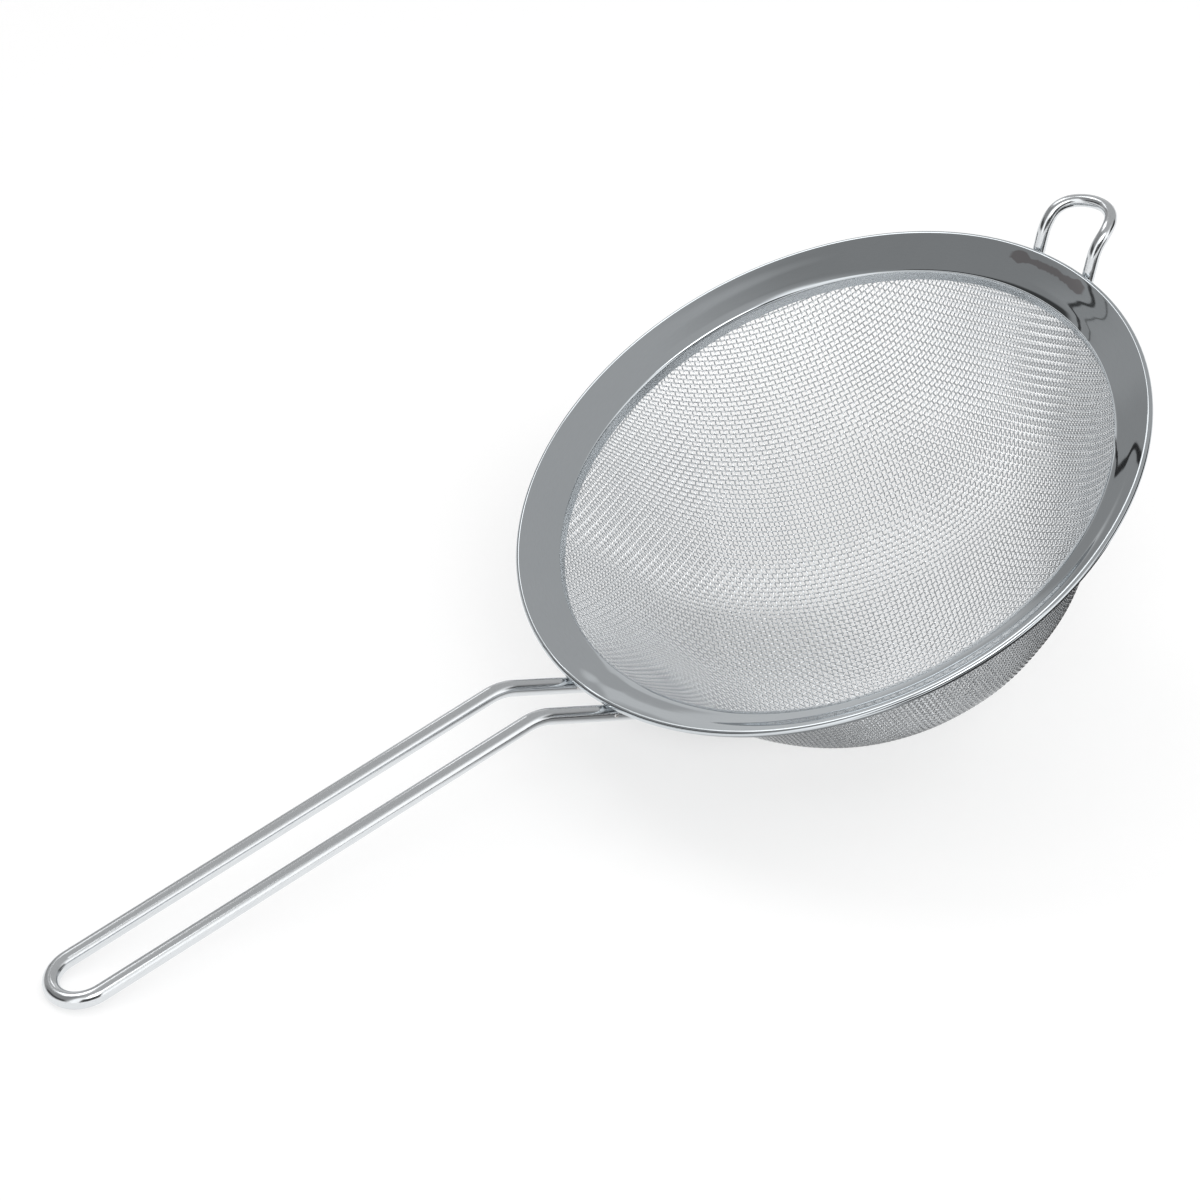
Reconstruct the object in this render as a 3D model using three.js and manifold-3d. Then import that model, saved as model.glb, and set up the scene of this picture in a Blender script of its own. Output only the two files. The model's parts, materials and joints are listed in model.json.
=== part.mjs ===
// A wire-handled kitchen sieve: a conical sheet rim, a woven mesh bowl clamped under it,
// a hairpin handle and a small rest hook, both bent from round wire and welded to the rim.
// Millimetres and degrees. Each piece is drawn in the rim's own frame, with the rim plane at
// z = 0, the handle towards -X and the hook towards +X. The whole sieve then leans until the
// bowl and the handle's end both touch the table, as it lies when it is put down.

import * as THREE from 'three';
import { mergeVertices } from 'three/addons/utils/BufferGeometryUtils.js';
import Module from 'manifold-3d';

// Rim sheet
const rimRadius = 100;
const rimWidth = 12.9;
const sheetThickness = 0.6;
const beadRadius = 1.1;
const beadFlatWidth = 0.6;
const curlEndAngle = -150;
const coneAngle = 24.8;
const creaseRadius = 1.4;
const flangeHeight = 2.9;

// Clamp ring and the mesh edge that it holds against the flange
const clampThickness = 0.6;
const clampHeight = 2.7;
const edgeThickness = 0.7;
const edgeStand = 0.4;
const edgeOverlap = 1.2;
const seatGap = 0.3;

// Mesh bowl: a round bottom that runs up into a straight wall
const bowlDepth = 85;
const wallAngle = 62.31;
const meshPitch = 1.616;
const pitchesPerStrand = 10;
const strandWidth = 2;
const strandThickness = 1;
const weaveAngle = -30;

// Handle wire
const handleWire = 5;
const handleSpacing = 18.8;
const neckAngle = 44;
const neckLength = 24.2;
const neckBendRadius = 16;
const handleRise = 13.1;
const handleRun = 149.2;

// Hook wire
const hookWire = 4;
const hookSpacing = 22.4;
const hookAngle = 50;
const hookLeg = 6;
const hookBendRadius = 13;
const hookTipAngle = -12;
const hookReach = 23.4;

// Weld beads beside the rim's rolled edge
const weldLength = 5;
const weldHeight = 3;
const weldNarrowing = 0.8;

// Facets, and angles between the points of an arc
const roundSegments = 60;
const wireSides = 10;
const bendSteps = 5;
const loopSteps = 14;
const weldSides = 12;
const weldRings = 8;
const curlStep = 34;
const curlInsideStep = 68;
const creaseStep = 22;

// Working tolerances
const mergeDistance = 1e-3;
const leastWireStep = 1;
const newtonTurns = 12;
const newtonStep = 1e-4;

const radians = THREE.MathUtils.degToRad;

function steel(color, roughness) {
  return new THREE.MeshStandardMaterial({ color, roughness, metalness: 1 });
}

const sheetSteel = steel(0x9a9fa2, 0.15);
const wireSteel = steel(0xb4b8bb, 0.2);
const meshSteel = steel(0xc8cbce, 0.35);
const weldSteel = steel(0xa8abad, 0.4);

// Joining and cutting

const wasm = await Module();
wasm.setup();

function toSolid(geometry) {
  const plain = geometry.clone();
  plain.deleteAttribute('normal');
  plain.deleteAttribute('uv');
  const merged = mergeVertices(plain, mergeDistance);
  const mesh = new wasm.Mesh({
    numProp: 3,
    vertProperties: new Float32Array(merged.attributes.position.array),
    triVerts: new Uint32Array(merged.index.array),
  });
  return new wasm.Manifold(mesh);
}

function toGeometry(solid) {
  const mesh = solid.getMesh();
  const geometry = new THREE.BufferGeometry();
  geometry.setAttribute('position', new THREE.BufferAttribute(mesh.vertProperties, 3));
  geometry.setIndex(new THREE.BufferAttribute(mesh.triVerts, 1));
  geometry.computeVertexNormals();
  return geometry;
}

// Turned shapes: a closed outline of (radius, height) points, listed clockwise, about the Z axis.
// The lathe takes them the other way round.

function turned(outline) {
  const closed = [...outline, outline[0]].reverse();
  const points = closed.map(([radius, height]) => new THREE.Vector2(radius, height));
  return new THREE.LatheGeometry(points, roundSegments).rotateX(Math.PI / 2);
}

function sweep(from, to, largestStep) {
  const steps = Math.ceil(Math.abs(to - from) / largestStep);
  return Array.from({ length: steps + 1 }, (_, step) => from + (to - from) * step / steps);
}

function arcPoints([centreRadius, centreHeight], radius, angles) {
  return angles.map((angle) => [
    centreRadius + radius * Math.cos(radians(angle)),
    centreHeight + radius * Math.sin(radians(angle)),
  ]);
}

// Rim dish: a flange, a rounded crease, the cone and an edge that is rolled under.
// The cone's top is the common tangent of the crease and the rolled edge.

const beadCentre = [rimRadius - beadRadius, -beadRadius];
const coneNormal = 90 + coneAngle;
const flangeRadius = rimRadius - rimWidth;
const creaseCentreRadius = flangeRadius + creaseRadius;
const coneRun = beadCentre[0] - creaseCentreRadius;
const tangentRise = (beadRadius - creaseRadius) / Math.cos(radians(coneAngle));
const creaseCentre = [
  creaseCentreRadius,
  beadCentre[1] + tangentRise - coneRun * Math.tan(radians(coneAngle)),
];
const flangeDepth = flangeHeight - creaseCentre[1];

function rimOutline() {
  const flat = THREE.MathUtils.radToDeg(Math.asin(beadFlatWidth / 2 / beadRadius));
  const curl = [coneNormal, 90 + flat, ...sweep(90 - flat, curlEndAngle, curlStep)];
  const inside = sweep(curlEndAngle, coneNormal, curlInsideStep);
  const crease = sweep(180, coneNormal, creaseStep);
  const insideCrease = [...crease].reverse();
  return [
    [flangeRadius, -flangeDepth],
    ...arcPoints(creaseCentre, creaseRadius, crease),
    ...arcPoints(beadCentre, beadRadius, curl),
    ...arcPoints(beadCentre, beadRadius - sheetThickness, inside),
    ...arcPoints(creaseCentre, creaseRadius - sheetThickness, insideCrease),
    [flangeRadius + sheetThickness, -flangeDepth],
  ];
}

// Mesh edge and clamp ring: two bands stacked outside the flange

const edgeInner = flangeRadius + sheetThickness + seatGap;
const edgeOuter = edgeInner + edgeThickness;
const edgeMiddle = edgeInner + edgeThickness / 2;
const clampInner = edgeOuter + seatGap;
const clampOuter = clampInner + clampThickness;
const clampTop = clampHeight - flangeDepth;

function band(inner, outer, bottom, top) {
  return turned([[inner, bottom], [inner, top], [outer, top], [outer, bottom]]);
}

// Bowl surface: a straight wall from the mesh edge just below the flange, and a sphere about
// the axis that the wall runs into as a tangent

const wallTop = -flangeDepth - seatGap;
const wallRise = Math.sin(radians(wallAngle));
const wallRun = Math.cos(radians(wallAngle));
const bowlRadius = (edgeMiddle * wallRise - (wallTop + bowlDepth) * wallRun) / (1 - wallRun);
const sphereCentre = bowlRadius - bowlDepth;
const wallFootRadius = bowlRadius * wallRise;
const wallFootHeight = sphereCentre - bowlRadius * wallRun;
const roundLength = bowlRadius * radians(wallAngle);

function bowlHeight(radius) {
  if (radius > wallFootRadius) {
    return wallFootHeight + (radius - wallFootRadius) * wallRise / wallRun;
  }
  return sphereCentre - Math.sqrt(bowlRadius ** 2 - radius ** 2);
}

function bowlPoint(x, y) {
  return new THREE.Vector3(x, y, bowlHeight(Math.hypot(x, y)));
}

function bowlNormal(point) {
  const radius = Math.hypot(point.x, point.y);
  if (radius > wallFootRadius) {
    const outward = wallRise / radius;
    return new THREE.Vector3(point.x * outward, point.y * outward, -wallRun);
  }
  return point.clone().sub(new THREE.Vector3(0, 0, sphereCentre)).normalize();
}

// Net: wires pressed into a bowl keep their pitch along both wires and shear between them,
// so each crossing lies one strand pitch from two earlier ones. One strand stands for
// several real wires.

const strandPitch = meshPitch * pitchesPerStrand;
const netLimit = edgeMiddle + strandPitch;
const netReach = roundLength + (netLimit - wallFootRadius) / wallRun;

function meridianPoint(length, bearing) {
  const wallLength = Math.max(0, length - roundLength);
  const turn = Math.min(length, roundLength) / bowlRadius;
  const radius = bowlRadius * Math.sin(turn) + wallLength * wallRun;
  return bowlPoint(radius * Math.cos(bearing), radius * Math.sin(bearing));
}

function nextCrossing(along, across, behind) {
  const guess = along.clone().add(across).sub(behind);
  let { x, y } = guess;
  const misses = (px, py) => {
    const point = bowlPoint(px, py);
    return [point.distanceTo(along) - strandPitch, point.distanceTo(across) - strandPitch];
  };
  for (let turn = 0; turn < newtonTurns; turn += 1) {
    const [missA, missB] = misses(x, y);
    const [nextAx, nextBx] = misses(x + newtonStep, y);
    const [nextAy, nextBy] = misses(x, y + newtonStep);
    const slopeAx = (nextAx - missA) / newtonStep;
    const slopeAy = (nextAy - missA) / newtonStep;
    const slopeBx = (nextBx - missB) / newtonStep;
    const slopeBy = (nextBy - missB) / newtonStep;
    const determinant = slopeAx * slopeBy - slopeAy * slopeBx;
    x -= (missA * slopeBy - missB * slopeAy) / determinant;
    y -= (missB * slopeAx - missA * slopeBx) / determinant;
  }
  return bowlPoint(x, y);
}

function netQuadrant(bearing) {
  const count = Math.ceil(netReach / strandPitch);
  const rows = [];
  for (let i = 0; i <= count; i += 1) {
    rows.push([]);
    for (let j = 0; j <= count; j += 1) {
      const onAxis = i === 0 || j === 0;
      const axisPoint = i > 0
        ? meridianPoint(i * strandPitch, bearing)
        : meridianPoint(j * strandPitch, bearing + Math.PI / 2);
      const ready = !onAxis && rows[i - 1][j] && rows[i][j - 1];
      const point = ready ? nextCrossing(rows[i - 1][j], rows[i][j - 1], rows[i - 1][j - 1]) : axisPoint;
      const inside = (onAxis || ready) && Math.hypot(point.x, point.y) < netLimit;
      rows[i].push(inside ? point : null);
    }
  }
  return rows;
}

function netGeometry() {
  const positions = [];
  const half = strandThickness / 2;
  const addQuad = (a, b, c, d) => {
    for (const corner of [a, b, c, a, c, d]) positions.push(corner.x, corner.y, corner.z);
  };
  const sides = (point) => {
    const normal = bowlNormal(point).multiplyScalar(half);
    return { outside: point.clone().add(normal), inside: point.clone().sub(normal) };
  };
  const openEdges = new Map();
  const keyOf = ({ x, y }) => `${x.toFixed(2)},${y.toFixed(2)}`.replaceAll('-0.00', '0.00');
  for (let quarter = 0; quarter < 4; quarter += 1) {
    const rows = netQuadrant(radians(weaveAngle) + quarter * Math.PI / 2);
    for (let i = 0; i + 1 < rows.length; i += 1) {
      for (let j = 0; j + 1 < rows.length; j += 1) {
        const corners = [rows[i][j], rows[i + 1][j], rows[i + 1][j + 1], rows[i][j + 1]];
        if (!corners.every(Boolean)) continue;
        const holes = corners.map((corner, k) => {
          const next = corners[(k + 1) % 4].clone().sub(corner).normalize();
          const last = corners[(k + 3) % 4].clone().sub(corner).normalize();
          const inset = strandWidth / 2 / Math.sin(next.angleTo(last));
          const point = corner.clone().addScaledVector(next, inset).addScaledVector(last, inset);
          return bowlPoint(point.x, point.y);
        });
        const frame = corners.map(sides);
        const gap = holes.map(sides);
        for (let k = 0; k < 4; k += 1) {
          const n = (k + 1) % 4;
          addQuad(frame[k].inside, frame[n].inside, gap[n].inside, gap[k].inside);
          addQuad(frame[n].outside, frame[k].outside, gap[k].outside, gap[n].outside);
          addQuad(gap[k].inside, gap[n].inside, gap[n].outside, gap[k].outside);
          const forward = `${keyOf(corners[k])} ${keyOf(corners[n])}`;
          const backward = `${keyOf(corners[n])} ${keyOf(corners[k])}`;
          if (!openEdges.delete(backward)) openEdges.set(forward, [frame[k], frame[n]]);
        }
      }
    }
  }
  for (const [from, to] of openEdges.values()) {
    addQuad(to.inside, from.inside, from.outside, to.outside);
  }
  const geometry = new THREE.BufferGeometry();
  geometry.setAttribute('position', new THREE.Float32BufferAttribute(positions, 3));
  return geometry;
}

function meshBowlGeometry() {
  const above = band(bowlRadius / 2, netLimit * 2, wallTop, rimRadius);
  const edge = band(edgeInner, edgeOuter, wallTop - edgeOverlap, clampTop + edgeStand);
  return toGeometry(toSolid(netGeometry()).subtract(toSolid(above)).add(toSolid(edge)));
}

// Bent wire: a flat hairpin, two straight legs and a round loop, whose length then follows
// a side view of straight runs and bends. Places along the length are counted from where the
// legs pass the rim's rolled edge.

class Route extends THREE.Curve {
  constructor(points) {
    super();
    this.points = points;
  }

  getUtoTmapping(u) {
    return u;
  }

  getPoint(t, target = new THREE.Vector3()) {
    const place = t * (this.points.length - 1);
    const index = Math.min(Math.floor(place), this.points.length - 2);
    return target.lerpVectors(this.points[index], this.points[index + 1], place - index);
  }

  getTangent(t, target = new THREE.Vector3()) {
    const last = this.points.length - 1;
    const index = Math.round(t * last);
    const here = this.points[index];
    const ahead = this.points[Math.min(index + 1, last)].clone().sub(here).normalize();
    const behind = here.clone().sub(this.points[Math.max(index - 1, 0)]).normalize();
    return target.addVectors(ahead, behind).normalize();
  }
}

function roundWire(points, diameter) {
  const section = new THREE.Shape();
  for (let side = 0; side < wireSides; side += 1) {
    const angle = (side + 0.5) * 2 * Math.PI / wireSides;
    const place = [Math.cos(angle) * diameter / 2, Math.sin(angle) * diameter / 2];
    if (side === 0) section.moveTo(...place);
    else section.lineTo(...place);
  }
  section.closePath();
  const route = new Route(points);
  return new THREE.ExtrudeGeometry(section, { steps: points.length - 1, extrudePath: route });
}

// Where a leg passes the rolled edge: a seat gap away from it, square to the leg
function seatPoint(spacing, wire, angle) {
  const out = Math.sqrt(beadCentre[0] ** 2 - (spacing / 2) ** 2);
  const clear = beadRadius + wire / 2 + seatGap;
  return [out + clear * Math.sin(radians(angle)), beadCentre[1] - clear * Math.cos(radians(angle))];
}

// How far a leg runs inwards from there, until its end stands a seat gap from the clamp ring
function tailLength(spacing, wire, angle) {
  const ringOut = Math.sqrt(clampOuter ** 2 - ((spacing - wire) / 2) ** 2);
  const endReach = wire / 2 * Math.sin(radians(angle));
  const room = seatPoint(spacing, wire, angle)[0] - ringOut - endReach - seatGap;
  return room / Math.cos(radians(angle));
}

// Side view of a leg: straight, one bend, straight. Gives (outward, height) at a length.
function sideView(start, startAngle, straight, bendRadius, endAngle) {
  const turn = radians(startAngle - endAngle);
  const bendLength = bendRadius * turn;
  const heading = (angle) => [Math.cos(angle), Math.sin(angle)];
  return (length) => {
    const [startX, startZ] = heading(radians(startAngle));
    const along = Math.min(length, straight);
    const bent = THREE.MathUtils.clamp(length - straight, 0, bendLength);
    const rest = Math.max(0, length - straight - bendLength);
    const now = radians(startAngle) - bent / bendRadius;
    const [endX, endZ] = heading(now);
    return [
      start[0] + along * startX + bendRadius * (Math.sin(radians(startAngle)) - Math.sin(now)) + rest * endX,
      start[1] + along * startZ + bendRadius * (Math.cos(now) - Math.cos(radians(startAngle))) + rest * endZ,
    ];
  };
}

function hairpin({ spacing, wire, angle, straight, bendRadius, endAngle, loopCentre, towards }) {
  const start = seatPoint(spacing, wire, angle);
  const view = sideView(start, angle, straight, bendRadius, endAngle);
  const tail = tailLength(spacing, wire, angle);
  const bendLength = bendRadius * radians(angle - endAngle);
  const flat = [[-tail, spacing / 2]];
  for (let step = 0; step <= bendSteps; step += 1) {
    const place = straight + bendLength * step / bendSteps;
    if (place < loopCentre - leastWireStep) flat.push([place, spacing / 2]);
  }
  for (let step = 0; step <= loopSteps / 2; step += 1) {
    const sweep = Math.PI * step / loopSteps;
    flat.push([loopCentre + Math.sin(sweep) * spacing / 2, Math.cos(sweep) * spacing / 2]);
  }
  const back = flat.slice(0, -1).reverse().map(([place, side]) => [place, -side]);
  const points = [...flat, ...back].map(([place, side]) => {
    const [out, height] = view(place);
    return new THREE.Vector3(towards * out, -towards * side, height);
  });
  return { view, points };
}

// Neck and run meet in a bend, whose two tangents take up part of each
const neckTangent = neckBendRadius * Math.tan(radians(neckAngle - handleRise) / 2);
const neckBendLength = neckBendRadius * radians(neckAngle - handleRise);
const handleLoopCentre = neckLength - 2 * neckTangent + neckBendLength + handleRun;

const handleLegs = {
  spacing: handleSpacing,
  wire: handleWire,
  angle: neckAngle,
  straight: neckLength - neckTangent,
  bendRadius: neckBendRadius,
  endAngle: handleRise,
  loopCentre: handleLoopCentre,
  towards: -1,
};

const hookLegs = {
  spacing: hookSpacing,
  wire: hookWire,
  angle: hookAngle,
  straight: hookLeg,
  bendRadius: hookBendRadius,
  endAngle: hookTipAngle,
  loopCentre: hookReach - hookSpacing / 2,
  towards: 1,
};

// Weld bead: a lump in the crevice between a leg and the rolled edge, inside the edge,
// cut back a seat gap from the wire and from the sheet
function weldGeometry({ spacing, wire, angle, towards }, side) {
  const [seatOut, seatHeight] = seatPoint(spacing, wire, angle);
  const inward = weldLength / 2 + beadRadius;
  const lift = wire / 2;
  const out = seatOut - inward * Math.cos(radians(angle)) - lift * Math.sin(radians(angle));
  const height = seatHeight - inward * Math.sin(radians(angle)) + lift * Math.cos(radians(angle));
  const centre = new THREE.Vector3(towards * out, side * spacing / 2, height);
  const lump = new THREE.SphereGeometry(0.5, weldSides, weldRings);
  lump.scale(weldLength, wire * weldNarrowing, weldHeight);
  lump.rotateY(-towards * radians(angle)).translate(centre.x, centre.y, centre.z);
  const clear = wire + 2 * seatGap / Math.cos(Math.PI / wireSides);
  const legReach = inward + weldLength;
  const legEnds = [-legReach, legReach].map((place) => new THREE.Vector3(
    towards * (seatOut + place * Math.cos(radians(angle))),
    side * spacing / 2,
    seatHeight + place * Math.sin(radians(angle)),
  ));
  const grown = coneClearance();
  return toGeometry(toSolid(lump).subtract(toSolid(roundWire(legEnds, clear))).subtract(toSolid(grown)));
}

// The space kept clear under the sheet: the cone and the rolled edge, a seat gap thicker
function coneClearance() {
  const curl = sweep(coneNormal, curlEndAngle, curlStep);
  const under = arcPoints(creaseCentre, creaseRadius - sheetThickness - seatGap, [coneNormal]);
  const over = arcPoints(creaseCentre, creaseRadius, [coneNormal]);
  const edge = arcPoints(beadCentre, beadRadius + seatGap, curl);
  const inner = arcPoints(beadCentre, beadRadius - sheetThickness - seatGap, [coneNormal]);
  return turned([...over, ...edge, ...inner, ...under]);
}

// Assembly

const sieve = new THREE.Group();

function addPiece(name, geometry, material) {
  const mesh = new THREE.Mesh(geometry, material);
  mesh.name = name;
  sieve.add(mesh);
}

const handle = hairpin(handleLegs);
const hook = hairpin(hookLegs);

addPiece('rim_dish', turned(rimOutline()), sheetSteel);
addPiece('mesh_clamp_ring', band(clampInner, clampOuter, -flangeDepth, clampTop), sheetSteel);
addPiece('mesh_bowl', meshBowlGeometry(), meshSteel);
addPiece('handle', roundWire(handle.points, handleWire), wireSteel);
addPiece('rest_hook', roundWire(hook.points, hookWire), wireSteel);
for (const [side, word] of [[1, 'left'], [-1, 'right']]) {
  addPiece(`handle_weld_${word}`, weldGeometry(handleLegs, side), weldSteel);
  addPiece(`hook_weld_${word}`, weldGeometry(hookLegs, side), weldSteel);
}

// Lean at rest: the bowl's outside and the end of the handle reach equally low
const [tipOut, tipHeight] = handle.view(handleLoopCentre + handleSpacing / 2);
const heightDifference = sphereCentre - tipHeight;
const lowReach = bowlRadius + strandThickness / 2 - handleWire / 2;
const restLean = Math.atan2(tipOut, heightDifference)
  - Math.acos(lowReach / Math.hypot(tipOut, heightDifference));
sieve.rotation.y = -restLean;

// Origin: the middle of the resting sieve's box, on the table
const part = new THREE.Group();
part.add(sieve);
part.updateMatrixWorld(true);
const box = new THREE.Box3().setFromObject(part, true);
const middle = box.getCenter(new THREE.Vector3());
sieve.position.set(-middle.x, -middle.y, -box.min.z);

export default part;
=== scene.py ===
"""A kitchen sieve lying on a white table: spun sheet rim, woven wire bowl, bent wire handle and hook."""

import json
import math

import bpy
from mathutils import Matrix, Vector, kdtree, noise


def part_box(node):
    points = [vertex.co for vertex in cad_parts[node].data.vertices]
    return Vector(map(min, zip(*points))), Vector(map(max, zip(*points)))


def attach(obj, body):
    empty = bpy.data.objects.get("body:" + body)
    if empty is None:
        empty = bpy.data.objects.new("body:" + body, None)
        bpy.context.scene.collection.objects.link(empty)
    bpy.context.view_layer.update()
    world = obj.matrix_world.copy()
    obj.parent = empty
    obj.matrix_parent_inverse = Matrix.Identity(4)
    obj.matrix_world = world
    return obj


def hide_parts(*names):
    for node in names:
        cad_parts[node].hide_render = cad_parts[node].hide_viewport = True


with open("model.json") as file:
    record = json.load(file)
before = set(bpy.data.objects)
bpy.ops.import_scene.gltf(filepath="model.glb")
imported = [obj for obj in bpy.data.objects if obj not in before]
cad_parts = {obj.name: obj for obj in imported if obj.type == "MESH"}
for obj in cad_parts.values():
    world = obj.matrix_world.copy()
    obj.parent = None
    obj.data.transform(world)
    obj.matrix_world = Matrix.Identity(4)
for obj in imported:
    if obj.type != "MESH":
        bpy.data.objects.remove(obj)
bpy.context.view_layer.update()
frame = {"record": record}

# Sizes in millimetres and degrees, as in the solid model

MM = 0.001

RIM_RADIUS = 100.0
RIM_WIDTH = 12.9
SHEET_THICKNESS = 0.6
BEAD_RADIUS = 1.1
CURL_END_ANGLE = -150.0
CONE_ANGLE = 24.8
CREASE_RADIUS = 1.4
FLANGE_HEIGHT = 2.9

CLAMP_THICKNESS = 0.6
CLAMP_HEIGHT = 2.7
CLAMP_CHAMFER = 0.12
EDGE_THICKNESS = 0.7
EDGE_STAND = 0.4
SEAT_GAP = 0.3

BOWL_DEPTH = 85.0
BOWL_RADIUS = 80.55
EDGE_BEND_RADIUS = 3.0
MESH_PITCH = 1.616
MESH_WIRE = 0.5
WEAVE_ANGLE = -30.0

HANDLE_WIRE = 5.0
HANDLE_SPACING = 18.8
NECK_ANGLE = 44.0
NECK_LENGTH = 24.2
NECK_BEND_RADIUS = 16.0
HANDLE_RISE = 13.1
HANDLE_RUN = 149.2

HOOK_WIRE = 4.0
HOOK_SPACING = 22.4
HOOK_ANGLE = 50.0
HOOK_LEG = 6.0
HOOK_BEND_RADIUS = 13.0
HOOK_TIP_ANGLE = -12.0
HOOK_REACH = 23.4

WELD_LENGTH = 5.0
WELD_HEIGHT = 3.0

# Slight shapes left by the work: the cone's stray slope, as shares of its way and of its stray angle

CONE_STRAY = math.radians(3.0)
CONE_BENDS = ((0.0, 3.0), (0.15, 1.0), (0.27, -0.9), (0.47, -0.4), (0.68, 1.1), (1.0, -0.5))
CREASE_EASE = 8.0

# The cloth's bulges, the length over which its held edge lets them go, and a wire's level share of a pitch

BULGE = 0.5
BULGE_LENGTH = 17.0
LOOSE_LENGTH = 14.0
LEVEL_SHARE = 0.25

# Weld beads and spilt drops: the narrowing and the drops' place, width and height are shares of the wire

WELD_NARROWING = 0.8
WELD_VOXEL = 0.18
WELD_UNEVENNESS = 0.3
WELD_SEED = 3
WELD_SMOOTHINGS = 4
DROP_INWARD = 3.5
DROP_LENGTH = 1.9
DROP_ASIDE = 0.46
DROP_RISE = 0.06
DROP_WIDTH = 0.24
DROP_HEIGHT = 0.3

# Heat mark across the hook's welds, with a knob at each, and dents by the handle's welds

HEAT_RADIUS = 95.9
HEAT_REACH = 17.0
HEAT_FADE = 1.5
HEAT_KNOB = 12.5
HEAT_KNOB_REACH = 4.5
HEAT_KNOB_WIDTH = 1.9
HEAT_BAND_WIDTH = 0.95
HEAT_STRAY = 1.5
HEAT_STRENGTH = 0.85
DENT_RADIUS = 94.0
DENT_REACH = 11.0
DENT_DEPTH = 0.16

# Fineness of the round shapes, in counts, degrees and millimetres

RIM_STEPS = 180
CONE_STEPS = 40
CREASE_STEP = 6.0
BEAD_STEP = 10.0
HIDDEN_BEAD_STEP = 24.0
HIDDEN_CREASE_STEP = 16.0
WIRE_SIDES = 28
MESH_WIRE_ROUNDNESS = 1
BEND_STEPS = 14
LOOP_STEPS = 40
HOOK_RING_LENGTH = 0.6
DROP_SEGMENTS = 24
DROP_RINGS = 16
MERGE_DISTANCE = 0.001
CRISP_ANGLE = 40.0
MESH_CRISP_ANGLE = 85.0
CROSSING_STEPS = 5
CROSSING_NUDGE = 1e-4

# Sizes that follow from those above

CONE = math.radians(CONE_ANGLE)
FLANGE_RADIUS = RIM_RADIUS - RIM_WIDTH
BEAD_CENTRE = (RIM_RADIUS - BEAD_RADIUS, -BEAD_RADIUS)
CREASE_CENTRE_RADIUS = FLANGE_RADIUS + CREASE_RADIUS
CREASE_CENTRE = (
    CREASE_CENTRE_RADIUS,
    BEAD_CENTRE[1] + (BEAD_RADIUS - CREASE_RADIUS) / math.cos(CONE)
    - (BEAD_CENTRE[0] - CREASE_CENTRE_RADIUS) * math.tan(CONE),
)
FLANGE_DEPTH = FLANGE_HEIGHT - CREASE_CENTRE[1]
EDGE_INNER = FLANGE_RADIUS + SHEET_THICKNESS + SEAT_GAP
EDGE_MIDDLE = EDGE_INNER + EDGE_THICKNESS / 2
CLAMP_INNER = EDGE_INNER + EDGE_THICKNESS + SEAT_GAP
CLAMP_OUTER = CLAMP_INNER + CLAMP_THICKNESS
CLAMP_TOP = CLAMP_HEIGHT - FLANGE_DEPTH

BOWL_CENTRE = BOWL_RADIUS - BOWL_DEPTH
WALL_TOP = -FLANGE_DEPTH - SEAT_GAP
WALL = math.asin(BOWL_RADIUS / math.hypot(EDGE_MIDDLE, WALL_TOP - BOWL_CENTRE))
WALL += math.atan2(WALL_TOP - BOWL_CENTRE, EDGE_MIDDLE)

# The rim plane's place: it leans until the bowl and the handle's end touch the table

rim_axis = Vector(frame["record"]["mounts"][0]["axis"]).normalized()
lean = math.atan2(-rim_axis.x, rim_axis.z)
ring_low, ring_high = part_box("mesh_clamp_ring")
ring_height = CLAMP_HEIGHT / 2 - FLANGE_DEPTH
rim_centre = (ring_low + ring_high) / 2 - rim_axis * ring_height * MM
RIM_TO_REST = Matrix.Translation(rim_centre) @ Matrix.Rotation(-lean, 4, "Y")


# Working by hand: pieces are drawn about the rim's axis and then laid down

def start_piece(name):
    piece = bpy.context.object
    piece.name = name
    piece.data.name = name
    bpy.ops.object.transform_apply(location=True, rotation=True, scale=True)
    return piece


def only(piece):
    bpy.ops.object.select_all(action="DESELECT")
    piece.select_set(True)
    bpy.context.view_layer.objects.active = piece


def close_up():
    bpy.ops.mesh.select_all(action="SELECT")
    bpy.ops.mesh.remove_doubles(threshold=MERGE_DISTANCE * MM)
    bpy.ops.mesh.normals_make_consistent(inside=False)
    bpy.ops.object.mode_set(mode="OBJECT")


def lay_down(piece, material, slot, *nodes, crisp=CRISP_ANGLE):
    """Keeps each point's place about the rim's axis, lays the piece on the table and finishes it."""
    only(piece)
    place = piece.data.attributes.new("place", "FLOAT_VECTOR", "POINT")
    place.data.foreach_set("vector", [c / MM for vertex in piece.data.vertices for c in vertex.co])
    piece.matrix_world = RIM_TO_REST
    bpy.ops.object.transform_apply(location=True, rotation=True, scale=True)
    bpy.ops.object.shade_smooth_by_angle(angle=math.radians(crisp))
    piece.data.materials.clear()
    piece.data.materials.append(material)
    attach(piece, "root")
    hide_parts(*nodes)


def arc(centre, radius, start, end, step):
    count = max(1, math.ceil(abs(end - start) / step))
    angles = [math.radians(start + (end - start) * k / count) for k in range(count + 1)]
    return [(centre[0] + radius * math.cos(a), centre[1] + radius * math.sin(a)) for a in angles]


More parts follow.
